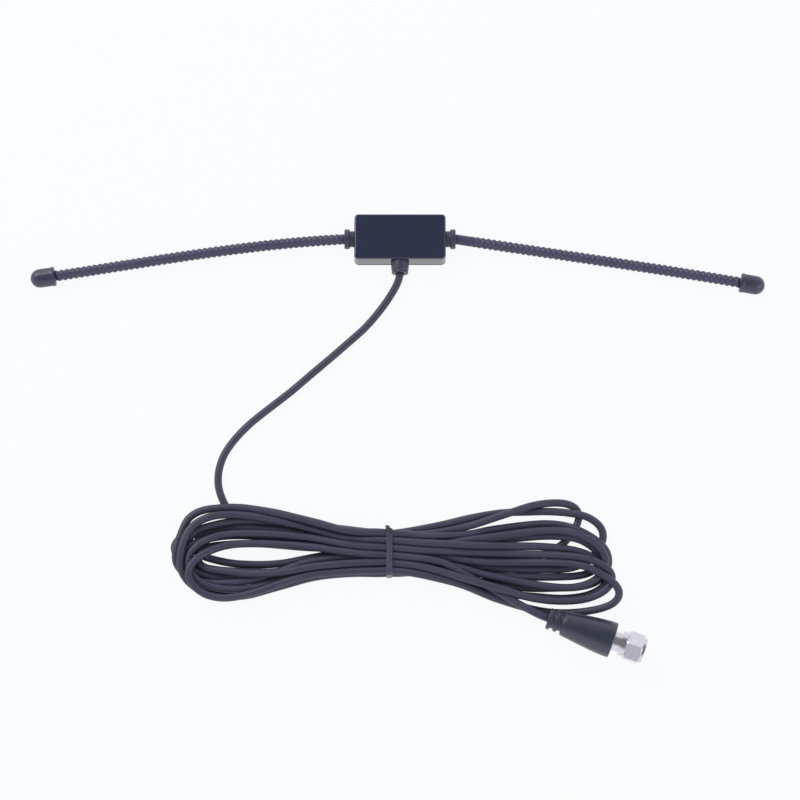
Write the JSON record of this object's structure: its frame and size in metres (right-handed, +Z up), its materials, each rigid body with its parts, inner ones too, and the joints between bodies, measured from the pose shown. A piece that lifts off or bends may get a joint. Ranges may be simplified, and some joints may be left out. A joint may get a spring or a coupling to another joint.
{
  "type": "indoor fm dipole antenna with coaxial lead",
  "caption": "Indoor dipole antenna: small housing with bendable ribbed rubber rods and soft tip caps, and a tied hank of coaxial lead that ends in a moulded screw-on plug.",
  "frame": {"origin": "centre of the housing's flat back face, which lies on the table", "axes": "+X along the rods to the right, +Y away from the lead's side, +Z up from the table"},
  "size_m": [0.3001, 0.184, 0.0142],
  "materials": {
    "shell_plastic": "polished black moulded plastic",
    "cover_plastic": "fine matte black moulded plastic",
    "board_laminate": "green lacquered laminate",
    "ferrite": "dull dark grey sintered ferrite",
    "winding_copper": "enamelled copper wire",
    "chip_ceramic": "tan ceramic chip",
    "terminal_brass": "tinned brass",
    "grommet_rubber": "satin black rubber",
    "sleeve_rubber": "satin blue-black rubber with a fine screw ridge",
    "rod_steel": "bendable steel wire",
    "cap_rubber": "soft satin black vinyl",
    "lead_jacket": "smooth semi-gloss black jacket",
    "tie_plastic": "black plastic-covered tie",
    "boot_plastic": "satin black moulded vinyl",
    "nickel": "bright nickel plating",
    "white_insulator": "white plastic",
    "pin_metal": "bare metal pin"
  },
  "bodies": {
    "antenna": {"front_shell": "shell_plastic", "back_cover": "cover_plastic", "circuit_board": "board_laminate", "balun_core": "ferrite", "balun_primary": "winding_copper", "balun_secondary": "winding_copper", "chip_capacitor": "chip_ceramic", "left_terminal": "terminal_brass", "right_terminal": "terminal_brass", "lead_terminal": "terminal_brass", "braid_saddle": "terminal_brass", "left_grommet": "grommet_rubber", "right_grommet": "grommet_rubber", "left_sleeve": "sleeve_rubber", "right_sleeve": "sleeve_rubber", "left_wire": "rod_steel", "right_wire": "rod_steel", "left_tip_cap": "cap_rubber", "right_tip_cap": "cap_rubber", "lead_gland": "grommet_rubber", "lead_inner_end": "lead_jacket", "lead_run": "lead_jacket", "lead_hank": "lead_jacket", "lead_tail": "lead_jacket", "hank_tie": "tie_plastic", "plug_boot": "boot_plastic", "plug_lead_end": "lead_jacket", "plug_ferrule": "nickel", "plug_dielectric": "white_insulator", "plug_centre_pin": "pin_metal"},
    "coupling_nut": {"plug_nut": "nickel"}
  },
  "joints": [
    {"name": "plug_nut_spin", "type": "hinge", "parent": "antenna", "child": "coupling_nut", "pos_m": [0.09169, -0.16784, 0.0071], "axis": [0.9455, -0.3256, 0], "continuous": true}
  ]
}
